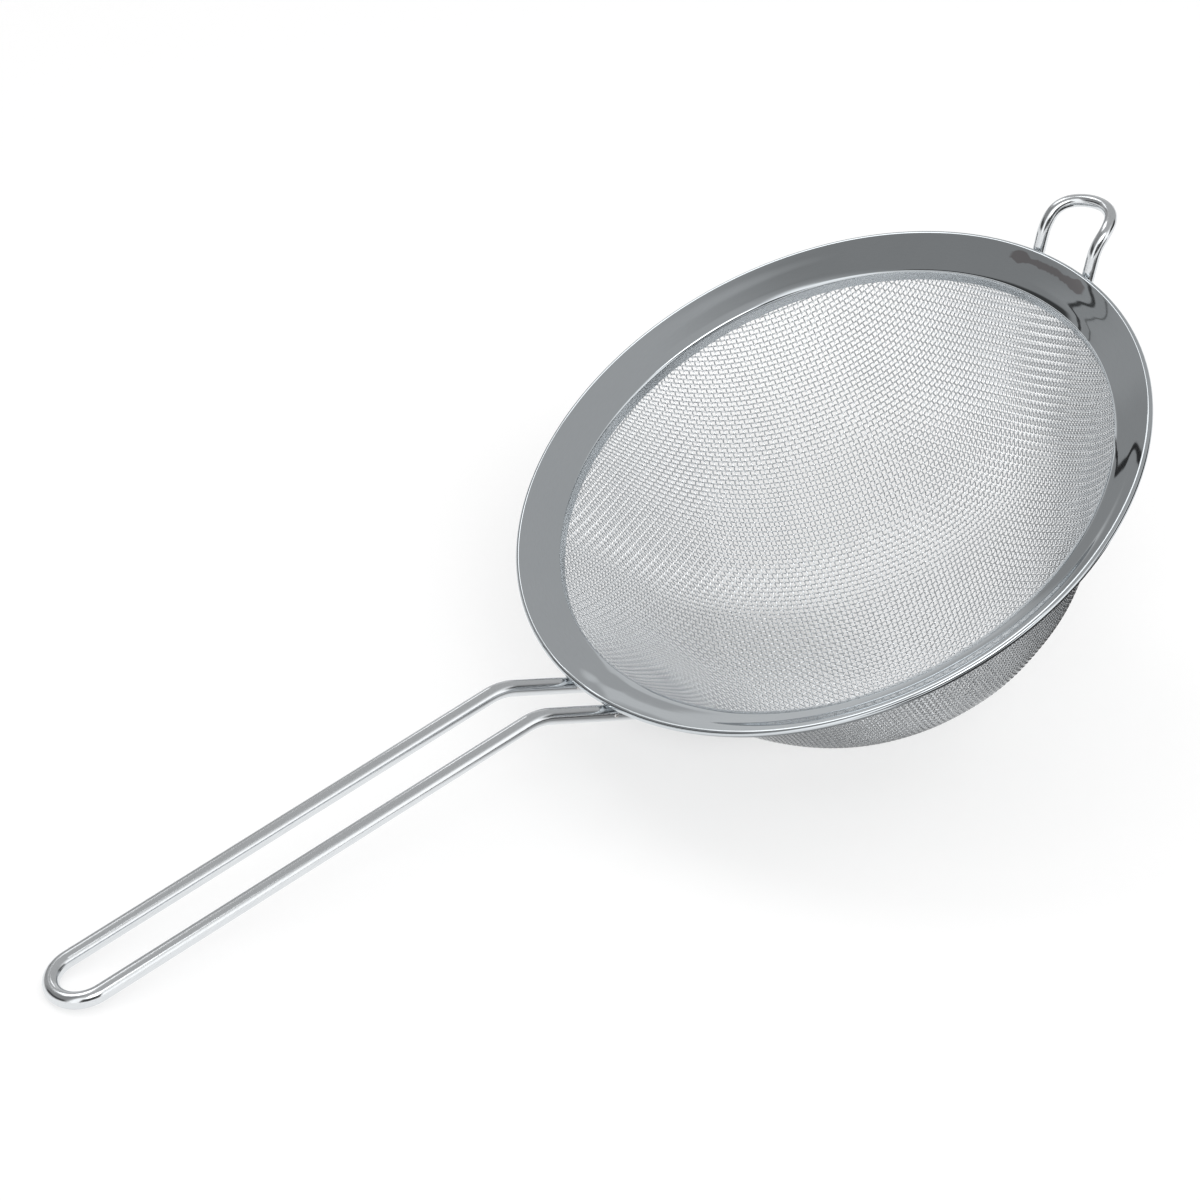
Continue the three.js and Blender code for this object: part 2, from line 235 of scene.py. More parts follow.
def spin_outline(name, outline):
    """A closed outline of (radius, height) in millimetres, spun round the rim's axis."""
    bpy.ops.object.select_all(action="DESELECT")
    bpy.ops.mesh.primitive_plane_add(size=MM)
    piece = start_piece(name)
    bpy.ops.object.mode_set(mode="EDIT")
    bpy.ops.mesh.select_all(action="SELECT")
    bpy.ops.mesh.merge(type="CENTER")
    bpy.ops.transform.translate(value=(outline[0][0] * MM, 0, outline[0][1] * MM))
    for (radius, height), (next_radius, next_height) in zip(outline, outline[1:]):
        step = ((next_radius - radius) * MM, 0, (next_height - height) * MM)
        bpy.ops.mesh.extrude_vertices_move(TRANSFORM_OT_translate={"value": step})
    bpy.ops.object.mode_set(mode="OBJECT")
    vertices = piece.data.vertices
    for vertex in vertices:
        vertex.select = vertex.index in (0, len(vertices) - 1)
    bpy.ops.object.mode_set(mode="EDIT")
    bpy.ops.mesh.edge_face_add()
    bpy.ops.mesh.select_all(action="SELECT")
    bpy.ops.mesh.spin(steps=RIM_STEPS, angle=2 * math.pi, center=(0, 0, 0), axis=(0, 0, 1))
    close_up()
    return piece


# Node graphs: the reach that most of a noise pattern lies in, and the places of a colour mix's sockets

NOISE_REACH = (0.3, 0.7)
MIX_SHARE = 0
MIX_FIRST = 6
MIX_SECOND = 7
MIX_RESULT = 2


class Graph:
    """Adds nodes to a tree: inputs in order or by name, as values or as other nodes' outputs."""

    def __init__(self, tree):
        self.tree = tree

    def add(self, kind, *inputs, output=0, named=None, **settings):
        node = self.tree.nodes.new(kind)
        for word, value in settings.items():
            setattr(node, word, value)
        for key, value in [*enumerate(inputs), *(named or {}).items()]:
            if isinstance(value, bpy.types.NodeSocket):
                self.tree.links.new(value, node.inputs[key])
            else:
                node.inputs[key].default_value = value
        return node.outputs[output]

    def math(self, operation, *inputs):
        return self.add("ShaderNodeMath", *inputs, operation=operation)

    def product(self, first, *others):
        for other in others:
            first = self.math("MULTIPLY", first, other)
        return first

    def off(self, value, middle):
        """How far a value lies from a middle one, either way."""
        return self.math("ABSOLUTE", self.math("SUBTRACT", value, middle))

    def length(self, vector):
        return self.add("ShaderNodeVectorMath", vector, operation="LENGTH", output="Value")

    def distance(self, place, middle):
        return self.length(self.add("ShaderNodeVectorMath", place, middle, operation="SUBTRACT"))

    def along(self, vector, way):
        return self.add("ShaderNodeVectorMath", vector, way, operation="DOT_PRODUCT", output="Value")

    def smooth(self, value, low, high, to_low=0.0, to_high=1.0):
        limits = (low, high, to_low, to_high)
        return self.add("ShaderNodeMapRange", value, *limits, interpolation_type="SMOOTHSTEP")

    def spread(self, pattern, limits):
        """A noise pattern, spread evenly between two limits."""
        return self.add("ShaderNodeMapRange", pattern, *NOISE_REACH, *limits)

    def noise(self, vector, scale, detail=2.0):
        return self.add("ShaderNodeTexNoise", named={"Vector": vector, "Scale": scale, "Detail": detail})

    def mix_colour(self, share, first, second):
        named = {MIX_SHARE: share, MIX_FIRST: first, MIX_SECOND: second}
        return self.add("ShaderNodeMix", named=named, output=MIX_RESULT, data_type="RGBA")

    def bump(self, height, distance, strength=1.0):
        named = {"Strength": strength, "Distance": distance, "Height": height}
        return self.add("ShaderNodeBump", named=named)


def steel(name):
    """A new bare steel material, with its graph and its shader."""
    material = bpy.data.materials.new(name)
    material.use_nodes = True
    shader = material.node_tree.nodes["Principled BSDF"]
    shader.inputs["Metallic"].default_value = 1
    return material, Graph(material.node_tree), shader


def join_up(graph, shader, colour, roughness, normal):
    graph.tree.links.new(colour, shader.inputs["Base Color"])
    graph.tree.links.new(roughness, shader.inputs["Roughness"])
    graph.tree.links.new(normal, shader.inputs["Normal"])


def worked_place(graph):
    """The place in millimetres about the rim's axis, kept on each piece before it is laid down."""
    return graph.add("ShaderNodeAttribute", attribute_name="place", output="Vector")


# Sheet: colours of the clouds, the polishing rings and the heat mark, roughness, grain and heights

SHEET_COLOURS = ((0.565, 0.598, 0.622, 1), (0.605, 0.638, 0.662, 1))
SHEET_RING_COLOUR = (0.548, 0.578, 0.6, 1)
HEAT_COLOUR = (0.335, 0.315, 0.322, 1)
SHEET_ROUGHNESS = (0.025, 0.055)
FLANGE_SATIN = 0.2
SHEET_RING_GRAIN = 9.0
SHEET_RING_TURNS = 4.0
SHEET_RING_HEIGHT = 0.00004
SHEET_CLOUD_GRAIN = 0.05
SHEET_WAVE_GRAIN = 0.07
SHEET_WAVE_HEIGHT = 0.05
HEAT_GRAIN = 0.3


def heat_mark(graph, place, x, y, radius):
    """How much the welding of the hook has coloured the sheet: a band with a knob at each weld."""
    reach = graph.math("ABSOLUTE", y)
    from_knob = graph.off(reach, HEAT_KNOB)
    width = graph.smooth(from_knob, HEAT_KNOB_REACH, 0.0, HEAT_BAND_WIDTH, HEAT_KNOB_WIDTH)
    stray = graph.math("MULTIPLY", graph.math("SUBTRACT", graph.noise(place, HEAT_GRAIN), 0.5), HEAT_STRAY)
    from_band = graph.off(graph.math("ADD", radius, stray), HEAT_RADIUS)
    inside = graph.smooth(graph.math("SUBTRACT", width, from_band), -0.15, 0.25)
    ends = graph.smooth(reach, HEAT_REACH, HEAT_REACH - HEAT_FADE)
    hook_side = graph.smooth(x, 0.0, 1.0)
    return graph.product(inside, ends, hook_side, HEAT_STRENGTH)


def make_sheet_finish():
    """Bright pressed sheet: polishing rings, soft waves, heat at the hook, dents at the handle."""
    material, graph, shader = steel("polished_sheet")
    place = worked_place(graph)
    x, y, z = graph.add("ShaderNodeSeparateXYZ", place).node.outputs
    flat = graph.add("ShaderNodeCombineXYZ", x, y, 0.0)
    radius = graph.length(flat)
    turn = graph.math("MULTIPLY", graph.math("ARCTAN2", y, x), SHEET_RING_TURNS)
    rings = graph.noise(graph.add("ShaderNodeCombineXYZ", radius, turn, z), SHEET_RING_GRAIN, 3.0)
    cloud = graph.noise(place, SHEET_CLOUD_GRAIN, 3.0)

    bare = graph.mix_colour(cloud, *SHEET_COLOURS)
    ringed = graph.mix_colour(graph.smooth(rings, 0.35, 0.7, 0.0, 0.5), bare, SHEET_RING_COLOUR)
    colour = graph.mix_colour(heat_mark(graph, place, x, y, radius), ringed, HEAT_COLOUR)

    satin = graph.smooth(radius, FLANGE_RADIUS + 0.08, FLANGE_RADIUS + 0.01, 0.0, FLANGE_SATIN)
    roughness = graph.math("ADD", graph.spread(rings, SHEET_ROUGHNESS), satin)

    waves = graph.math("MULTIPLY", graph.noise(place, SHEET_WAVE_GRAIN, 1.0), SHEET_WAVE_HEIGHT)
    height = graph.math("ADD", waves, graph.math("MULTIPLY", rings, SHEET_RING_HEIGHT))
    for side in (1, -1):
        away = graph.distance(flat, (-DENT_RADIUS, side * HANDLE_SPACING / 2, 0.0))
        height = graph.math("ADD", height, graph.smooth(away, 0.0, DENT_REACH, -DENT_DEPTH, 0.0))
    join_up(graph, shader, colour, roughness, graph.bump(height, MM))
    return material


# Handle and hook wire: colours of the clouds and the drawn lines, roughness, grain and relief

WIRE_COLOURS = ((0.68, 0.703, 0.722, 1), (0.725, 0.744, 0.76, 1))
WIRE_LINE_COLOUR = (0.59, 0.609, 0.625, 1)
WIRE_ROUGHNESS = (0.13, 0.17)
WIRE_STRETCH = (0.03, 1.0, 1.0)
WIRE_LINE_GRAIN = 5.0
WIRE_CLOUD_GRAIN = 0.12
WIRE_RELIEF = (0.00001, 0.1)


def make_wire_finish():
    """Bright drawn wire: fine lines along the wire and small clouds in the polish."""
    material, graph, shader = steel("bright_wire")
    place = worked_place(graph)
    stretched = graph.add("ShaderNodeMapping", place, named={"Scale": WIRE_STRETCH})
    lines = graph.noise(stretched, WIRE_LINE_GRAIN, 3.0)
    cloud = graph.noise(place, WIRE_CLOUD_GRAIN, 3.0)
    bare = graph.mix_colour(cloud, *WIRE_COLOURS)
    colour = graph.mix_colour(graph.smooth(lines, 0.45, 0.75, 0.0, 0.5), bare, WIRE_LINE_COLOUR)
    normal = graph.bump(graph.math("ADD", lines, cloud), *WIRE_RELIEF)
    join_up(graph, shader, colour, graph.spread(lines, WIRE_ROUGHNESS), normal)
    return material


# Mesh wire: colours of the crowns in painted light, the duller specks, the sides in painted shade,
# roughness, grain, relief

# The crowns' colours carry a painted highlight, and the sides' colour a painted shade between the wires
MESH_LIT_CROWN_COLOURS = ((0.875, 0.895, 0.91, 1), (0.915, 0.933, 0.945, 1))
MESH_SPECK_COLOUR = (0.795, 0.815, 0.833, 1)
MESH_SHADED_SIDE_COLOUR = (0.62, 0.64, 0.658, 1)
MESH_ROUGHNESS = (0.06, 0.12)
MESH_SHADE_TO_LIGHT = (0.3, 0.8)
MESH_SPECK_GRAIN = 700.0
MESH_CLOUD_GRAIN = 25.0
MESH_RELIEF = (0.00003, 0.4)


def make_mesh_finish():
    """Fine woven wire: painted highlight on the crowns, painted shade on the sides where the wires dip,
    each stretch a little unlike the next.
    """
    material, graph, shader = steel("woven_wire")
    place = graph.add("ShaderNodeTexCoord", output="Object")
    speck = graph.noise(place, MESH_SPECK_GRAIN)
    cloud = graph.noise(place, MESH_CLOUD_GRAIN)
    bare = graph.mix_colour(cloud, *MESH_LIT_CROWN_COLOURS)
    lit_crown = graph.mix_colour(graph.smooth(speck, 0.35, 0.65, 0.0, 0.5), bare, MESH_SPECK_COLOUR)
    crown = graph.add("ShaderNodeAttribute", attribute_name="crown", output="Fac")
    # Painted shade on the wire sides near the cloth's middle, painted highlight on the crowns
    colour = graph.mix_colour(graph.smooth(crown, *MESH_SHADE_TO_LIGHT), MESH_SHADED_SIDE_COLOUR, lit_crown)
    normal = graph.bump(speck, *MESH_RELIEF)
    join_up(graph, shader, colour, graph.spread(speck, MESH_ROUGHNESS), normal)
    return material


# Weld metal: colours where it stayed cool and where it was hottest, roughness, grain and relief

WELD_COLOURS = ((0.66, 0.67, 0.68, 1), (0.52, 0.5, 0.48, 1))
WELD_ROUGHNESS = (0.16, 0.34)
WELD_RIPPLE_GRAIN = 2.2
WELD_CLOUD_GRAIN = 0.8
WELD_RELIEF = (0.0001, 0.5)


def make_weld_finish():
    """Weld bead: rippled and a little dull, straw and grey where it was hottest."""
    material, graph, shader = steel("weld_bead")
    place = worked_place(graph)
    ripple = graph.noise(place, WELD_RIPPLE_GRAIN, 3.0)
    cloud = graph.noise(place, WELD_CLOUD_GRAIN)
    colour = graph.mix_colour(graph.smooth(cloud, 0.4, 0.7), *WELD_COLOURS)
    normal = graph.bump(ripple, *WELD_RELIEF)
    join_up(graph, shader, colour, graph.spread(ripple, WELD_ROUGHNESS), normal)
    return material


sheet_finish = make_sheet_finish()
wire_finish = make_wire_finish()
mesh_finish = make_mesh_finish()
weld_finish = make_weld_finish()


# Rim: flange, crease, cone and an edge that is rolled under

def cone_stray(share):
    """How far the cone's slope strays from straight, at a share of the way from crease to bead."""
    for (start, before), (end, after) in zip(CONE_BENDS, CONE_BENDS[1:]):
        if share <= end:
            turn = (1 - math.cos(math.pi * (share - start) / (end - start))) / 2
            return CONE_STRAY * (before + (after - before) * turn)
    return 0.0


def cone_line(start, end):
    """The cone's face from crease to bead, pressed a little hollow and full by turns."""
    length = math.dist(start, end)
    lifts = [0.0]
    for k in range(CONE_STEPS):
        lifts.append(lifts[-1] + cone_stray((k + 0.5) / CONE_STEPS) * length / CONE_STEPS)
    points = []
    for k in range(1, CONE_STEPS):
        share = k / CONE_STEPS
        lift = lifts[k] - lifts[-1] * share
        points.append((
            start[0] + (end[0] - start[0]) * share - lift * math.sin(CONE),
            start[1] + (end[1] - start[1]) * share + lift * math.cos(CONE),
        ))
    return points


def make_rim():
    normal = 90 + CONE_ANGLE
    inner_bead = BEAD_RADIUS - SHEET_THICKNESS
    inner_crease = CREASE_RADIUS - SHEET_THICKNESS
    crease = arc(CREASE_CENTRE, CREASE_RADIUS, 180, normal + CREASE_EASE, CREASE_STEP)
    bead = arc(BEAD_CENTRE, BEAD_RADIUS, normal, CURL_END_ANGLE, BEAD_STEP)
    outline = [
        (FLANGE_RADIUS, -FLANGE_DEPTH),
        *crease,
        *cone_line(crease[-1], bead[0]),
        *bead,
        *arc(BEAD_CENTRE, inner_bead, CURL_END_ANGLE, normal, HIDDEN_BEAD_STEP),
        *arc(CREASE_CENTRE, inner_crease, normal, 180, HIDDEN_CREASE_STEP),
        (FLANGE_RADIUS + SHEET_THICKNESS, -FLANGE_DEPTH),
    ]
    rim = spin_outline("rim_sheet", outline)
    lay_down(rim, sheet_finish, "polished_sheet", "rim_dish")


def make_clamp_band():
    inner, outer, cut = CLAMP_INNER, CLAMP_OUTER, CLAMP_CHAMFER
    outline = [
        (inner, -FLANGE_DEPTH + cut),
        (inner, CLAMP_TOP - cut),
        (inner + cut, CLAMP_TOP),
        (outer - cut, CLAMP_TOP),
        (outer, CLAMP_TOP - cut),
        (outer, -FLANGE_DEPTH + cut),
        (outer - cut, -FLANGE_DEPTH),
        (inner + cut, -FLANGE_DEPTH),
    ]
    band = spin_outline("clamp_band", outline)
    lay_down(band, sheet_finish, "polished_sheet", "mesh_clamp_ring")


# Woven bowl: the wires keep their pitch along both ways and shear between them

ROUND_LENGTH = BOWL_RADIUS * WALL
EDGE_TURN = math.pi / 2 - WALL
EDGE_TANGENT = EDGE_BEND_RADIUS * math.tan(EDGE_TURN / 2)
WALL_LENGTH = (EDGE_MIDDLE - BOWL_RADIUS * math.sin(WALL)) / math.cos(WALL) - EDGE_TANGENT
BEND_LENGTH = EDGE_BEND_RADIUS * EDGE_TURN
EDGE_LENGTH = CLAMP_TOP + EDGE_STAND - WALL_TOP - EDGE_TANGENT
MESH_REACH = ROUND_LENGTH + WALL_LENGTH + BEND_LENGTH + EDGE_LENGTH


def bowl_profile(length):
    """Radius, height and outward normal at a length along the mesh from the bowl's bottom."""
    turn = min(length, ROUND_LENGTH) / BOWL_RADIUS
    wall = min(max(length - ROUND_LENGTH, 0), WALL_LENGTH)
    bend = min(max(length - ROUND_LENGTH - WALL_LENGTH, 0), BEND_LENGTH)
    edge = max(length - ROUND_LENGTH - WALL_LENGTH - BEND_LENGTH, 0)
    slope = turn + bend / EDGE_BEND_RADIUS
    bend_out = EDGE_BEND_RADIUS * (math.sin(slope) - math.sin(turn))
    bend_up = EDGE_BEND_RADIUS * (math.cos(turn) - math.cos(slope))
    radius = BOWL_RADIUS * math.sin(turn) + wall * math.cos(turn) + bend_out
    height = BOWL_CENTRE - BOWL_RADIUS * math.cos(turn) + wall * math.sin(turn) + bend_up + edge
    return radius, height, math.sin(slope), -math.cos(slope)


def bowl_place(u, v):
    """Point and normal on the bowl at a place (u, v) on the cloth, measured from its bottom."""
    length = math.hypot(u, v)
    radius, height, out, up = bowl_profile(length)
    across, along = (u / length, v / length) if length else (1.0, 0.0)
    return Vector((radius * across, radius * along, height)), Vector((out * across, out * along, up))


def next_crossing(left, right, behind):
    """The crossing one pitch from two earlier ones, found by Newton's steps from a parallelogram."""
    u = left[0] + right[0] - behind[0]
    v = left[1] + right[1] - behind[1]
    left_point = bowl_place(*left)[0]
    right_point = bowl_place(*right)[0]

    def misses(a, b):
        point = bowl_place(a, b)[0]
        return (point - left_point).length - MESH_PITCH, (point - right_point).length - MESH_PITCH

    for _ in range(CROSSING_STEPS):
        miss = misses(u, v)
        by_u = [(m - n) / CROSSING_NUDGE for m, n in zip(misses(u + CROSSING_NUDGE, v), miss)]
        by_v = [(m - n) / CROSSING_NUDGE for m, n in zip(misses(u, v + CROSSING_NUDGE), miss)]
        determinant = by_u[0] * by_v[1] - by_v[0] * by_u[1]
        u -= (miss[0] * by_v[1] - miss[1] * by_v[0]) / determinant
        v -= (miss[1] * by_u[0] - miss[0] * by_u[1]) / determinant
    return u, v


def weave_quarter():
    """Places of the crossings in one quarter of the cloth, by their counts along both ways."""
    count = int(MESH_REACH / MESH_PITCH) + 1
    places = {}
    for i in range(count):
        for j in range(count):
            if i == 0 or j == 0:
                place = (i * MESH_PITCH, j * MESH_PITCH)
            elif (i - 1, j) in places and (i, j - 1) in places:
                place = next_crossing(places[i - 1, j], places[i, j - 1], places[i - 1, j - 1])
            else:
                continue
            if math.hypot(*place) <= MESH_REACH:
                places[i, j] = place
    return places


def weave_crossings():
    """Point and normal of every crossing: the quarter, turned four times about the bowl's axis."""
    quarter = weave_quarter()
    crossings = {}
    held = ROUND_LENGTH + WALL_LENGTH
    for turn in range(4):
        spin = Matrix.Rotation(math.radians(WEAVE_ANGLE) + turn * math.pi / 2, 3, "Z")
        for (i, j), place in quarter.items():
            key = ((i, j), (-j, i), (-i, -j), (j, -i))[turn]
            point, normal = bowl_place(*place)
            point, normal = spin @ point, spin @ normal
            loose = min(max((held - math.hypot(*place)) / LOOSE_LENGTH, 0), 1)
            bulge = BULGE * loose * (1 + noise.noise(point / BULGE_LENGTH)) / 2
            crossings[key] = (point - normal * bulge, normal)
    return crossings


def woven_route(row):
    """A wire's stops on the cloth, each over or under it: level at each crossing, sloped between."""
    stops = [row[0]]
    for (point, normal, side), (next_point, next_normal, next_side) in zip(row, row[1:]):
        for share, level in ((LEVEL_SHARE, side), (1 - LEVEL_SHARE, next_side)):
            stops.append((point.lerp(next_point, share), normal.lerp(next_normal, share), level))
    return [*stops, row[-1]]


def wire_middle(stop):
    point, normal, side = stop
    return point + normal * side * MESH_WIRE / 2


def mark_crowns(piece, stops):
    """Keeps on each point of the wires how far it stands off the cloth's middle, as a share, for the
    mesh's painted shade and light.
    """
    tree = kdtree.KDTree(len(stops))
    for k, stop in enumerate(stops):
        tree.insert(wire_middle(stop), k)
    tree.balance()
    shares = []
    for vertex in piece.data.vertices:
        place = vertex.co / MM
        point, normal, side = stops[tree.find(place)[1]]
        shares.append(abs((place - point).dot(normal)) / MESH_WIRE)
    crown = piece.data.attributes.new("crown", "FLOAT", "POINT")
    crown.data.foreach_set("value", shares)


def draw_route(spline, places):
    """Lays a curve's line through places given in millimetres."""
    spline.points.add(len(places) - 1)
    for point, place in zip(spline.points, places):
        point.co = (*(place * MM), 1)


def weave(name, routes):
    curve = bpy.data.curves.new(name, "CURVE")
    curve.dimensions = "3D"
    curve.bevel_depth = MESH_WIRE / 2 * MM
    curve.bevel_resolution = MESH_WIRE_ROUNDNESS
    curve.use_fill_caps = True
    for route in routes:
        draw_route(curve.splines.new("POLY"), [wire_middle(stop) for stop in route])
    piece = bpy.data.objects.new(name, curve)
    bpy.context.scene.collection.objects.link(piece)
    only(piece)
    bpy.ops.object.convert(target="MESH")
    piece = bpy.context.object
    mark_crowns(piece, [stop for route in routes for stop in route])
    return piece


def make_mesh_bowl():
    crossings = weave_crossings()
    reach = max(i for i, j in crossings)
    low_third, high_third = -reach // 3, reach // 3
    sets = (("warp", lambda n, k: (k, n), 1), ("weft", lambda n, k: (n, k), -1))
    thirds = (
        ("near", -reach, low_third),
        ("middle", low_third + 1, high_third),
        ("far", high_third + 1, reach),
    )
    for word, key, side in sets:
        for place, first, last in thirds:
            routes = []
            for n in range(first, last + 1):
                keys = [key(n, k) for k in range(-reach, reach + 1) if key(n, k) in crossings]
                row = [(*crossings[pair], side if sum(pair) % 2 == 0 else -side) for pair in keys]
                if len(row) > 1:
                    routes.append(woven_route(row))
            cloth = weave(f"mesh_{word}_{place}", routes)
            lay_down(cloth, mesh_finish, "mesh_steel", "mesh_bowl", crisp=MESH_CRISP_ANGLE)


# Bent wires, drawn out from a round end

def wire_seat(spacing, wire, angle):
    """Where a leg passes under the rolled edge, as (outward, height)."""
    out = math.sqrt(BEAD_CENTRE[0] ** 2 - (spacing / 2) ** 2)
    clear = BEAD_RADIUS + wire / 2 + SEAT_GAP
    return out + clear * math.sin(angle), BEAD_CENTRE[1] - clear * math.cos(angle)


def wire_tail(spacing, wire, angle):
    """How far a leg runs inwards from there, to stop short of the clamp band."""
    ring = math.sqrt(CLAMP_OUTER ** 2 - ((spacing - wire) / 2) ** 2)
    room = wire_seat(spacing, wire, angle)[0] - ring - wire / 2 * math.sin(angle) - SEAT_GAP
    return room / math.cos(angle)


def wire_end(name, point, direction, diameter):
    bpy.ops.object.select_all(action="DESELECT")
    bpy.ops.mesh.primitive_circle_add(
        vertices=WIRE_SIDES, radius=diameter / 2 * MM, fill_type="NGON",
        location=point * MM, rotation=direction.to_track_quat("Z", "Y").to_euler())
    piece = start_piece(name)
    bpy.ops.object.mode_set(mode="EDIT")
    bpy.ops.mesh.select_all(action="SELECT")
    return piece


def draw_out(step):
    bpy.ops.mesh.extrude_region_move(TRANSFORM_OT_translate={"value": step * MM})


def bend_round(centre, axis, angle, steps):
    bpy.ops.mesh.spin(steps=steps, angle=-angle, center=centre * MM, axis=axis)


def make_handle():
    neck = math.radians(NECK_ANGLE)
    rise = math.radians(HANDLE_RISE)
    tangent = NECK_BEND_RADIUS * math.tan((neck - rise) / 2)
    seat_out, seat_height = wire_seat(HANDLE_SPACING, HANDLE_WIRE, neck)
    tail = wire_tail(HANDLE_SPACING, HANDLE_WIRE, neck)
    side = Vector((0, HANDLE_SPACING / 2, 0))
    neck_way = Vector((-math.cos(neck), 0, math.sin(neck)))
    run_way = Vector((-math.cos(rise), 0, math.sin(rise)))
    neck_inside = Vector((-math.sin(neck), 0, -math.cos(neck)))
    seat = Vector((-seat_out, 0, seat_height))
    bend_start = seat + neck_way * (NECK_LENGTH - tangent)
    bend_centre = bend_start + neck_inside * NECK_BEND_RADIUS
    run_start = seat + neck_way * NECK_LENGTH + run_way * tangent
    loop_centre = run_start + run_way * (HANDLE_RUN - tangent)
    neck_stretch = neck_way * (NECK_LENGTH - tangent + tail)
    run_stretch = run_way * (HANDLE_RUN - tangent)
    across = Vector((0, 1, 0))
    loop_axis = run_way.cross(across)
    handle = wire_end("handle_wire", seat - neck_way * tail + side, neck_way, HANDLE_WIRE)
    draw_out(neck_stretch)
    bend_round(bend_centre + side, -across, neck - rise, BEND_STEPS)
    draw_out(run_stretch)
    bend_round(loop_centre, -loop_axis, math.pi, LOOP_STEPS)
    draw_out(-run_stretch)
    bend_round(bend_centre - side, across, neck - rise, BEND_STEPS)
    draw_out(-neck_stretch)
    close_up()
    lay_down(handle, wire_finish, "wire_steel", "handle")


def hook_route(tail):
    """The hook seen from the side: a straight leg, the outward curl and the tip's straight way on."""
    angle = math.radians(HOOK_ANGLE)
    tip = math.radians(HOOK_TIP_ANGLE)
    seat_out, seat_height = wire_seat(HOOK_SPACING, HOOK_WIRE, angle)
    way_in = Vector((math.cos(angle), 0, math.sin(angle)))
    way_out = Vector((math.cos(tip), 0, math.sin(tip)))
    first = Vector((seat_out, 0, seat_height)) - way_in * tail
    bend_start = first + way_in * (tail + HOOK_LEG)
    bend_centre = bend_start + Vector((math.sin(angle), 0, -math.cos(angle))) * HOOK_BEND_RADIUS
    turns = [angle + (tip - angle) * k / LOOP_STEPS for k in range(LOOP_STEPS + 1)]
    bend = [bend_centre + Vector((-math.sin(t), 0, math.cos(t))) * HOOK_BEND_RADIUS for t in turns]
    return [first, *bend, bend[-1] + way_out * HOOK_SPACING]


def make_hook():
    """A flat hairpin with close rings, then curled along the hook's side view."""
    tail = wire_tail(HOOK_SPACING, HOOK_WIRE, math.radians(HOOK_ANGLE))
    leg_length = tail + HOOK_REACH - HOOK_SPACING / 2
    rings = math.ceil(leg_length / HOOK_RING_LENGTH)
    along = Vector((1, 0, 0))
    side = Vector((0, HOOK_SPACING / 2, 0))
    hook = wire_end("hook_wire", side, along, HOOK_WIRE)
    for _ in range(rings):
        draw_out(along * leg_length / rings)
    bend_round(along * leg_length, Vector((0, 0, -1)), math.pi, LOOP_STEPS)
    for _ in range(rings):
        draw_out(-along * leg_length / rings)
    close_up()
    side_view = bpy.data.curves.new("hook_side_view", "CURVE")
    side_view.dimensions = "3D"
    side_view.twist_mode = "Z_UP"
    draw_route(side_view.splines.new("POLY"), hook_route(tail))
    guide = bpy.data.objects.new("hook_side_view", side_view)
    bpy.context.scene.collection.objects.link(guide)
    curl = hook.modifiers.new("curl", "CURVE")
    curl.object = guide
    curl.deform_axis = "POS_X"
    only(hook)
    bpy.ops.object.modifier_apply(modifier="curl")
    bpy.data.objects.remove(guide)
    lay_down(hook, wire_finish, "wire_steel", "rest_hook")


# Welds

def weld_drop(name, place, turn, size):
    bpy.ops.object.select_all(action="DESELECT")
    bpy.ops.mesh.primitive_uv_sphere_add(
        segments=DROP_SEGMENTS, ring_count=DROP_RINGS, radius=MM / 2,
        location=place * MM, rotation=turn, scale=size)
    return start_piece(name)


def make_weld(name, towards, side, spacing, wire, angle):
    """A bead on the leg's top under the cone, with a drop of spilt metal at each side of the leg."""
    turn = math.radians(angle)
    seat_out, seat_height = wire_seat(spacing, wire, turn)
    inward = Vector((-towards * math.cos(turn), 0, -math.sin(turn)))
    upward = Vector((-towards * math.sin(turn), 0, math.cos(turn)))
    seat = Vector((towards * seat_out, side * spacing / 2, seat_height))
    middle = seat + inward * (WELD_LENGTH / 2 + BEAD_RADIUS) + upward * wire / 2
    tilt = (0, -towards * turn, 0)
    weld = weld_drop(name, middle, tilt, (WELD_LENGTH, wire * WELD_NARROWING, WELD_HEIGHT))
    drops = []
    for hand in (1, -1):
        beside = Vector((0, hand * wire * DROP_ASIDE, 0))
        place = seat + inward * DROP_INWARD + beside + upward * wire * DROP_RISE
        size = (DROP_LENGTH, wire * DROP_WIDTH, wire * DROP_HEIGHT)
        drops.append(weld_drop("weld_drop", place, tilt, size))
    only(weld)
    for drop in drops:
        drop.select_set(True)
    bpy.ops.object.join()
    fuse = weld.modifiers.new("fuse", "REMESH")
    fuse.mode = "VOXEL"
    fuse.voxel_size = WELD_VOXEL * MM
    bpy.ops.object.modifier_apply(modifier="fuse")
    bpy.ops.object.mode_set(mode="EDIT")
    bpy.ops.mesh.select_all(action="SELECT")
    bpy.ops.transform.vertex_random(offset=WELD_UNEVENNESS * MM, seed=WELD_SEED)
    bpy.ops.mesh.vertices_smooth(factor=0.5, repeat=WELD_SMOOTHINGS)
    close_up()
    return weld


def make_welds():
    for side, word in ((1, "left"), (-1, "right")):
        weld = make_weld(f"handle_weld_bead_{word}", -1, side, HANDLE_SPACING, HANDLE_WIRE, NECK_ANGLE)
        lay_down(weld, weld_finish, "weld_steel", f"handle_weld_{word}")
        weld = make_weld(f"hook_weld_bead_{word}", 1, side, HOOK_SPACING, HOOK_WIRE, HOOK_ANGLE)
        lay_down(weld, weld_finish, "weld_steel", f"hook_weld_{word}")


# Camera, in millimetres and degrees

CAMERA_PLACE = Vector((-537.04, -725.11, 592.38))
CAMERA_TARGET = Vector((14.71, 23.08, 50.10))
CAMERA_ROLL = 1.03
CAMERA_LENS = 108.0
FILM_WIDTH = 36.0


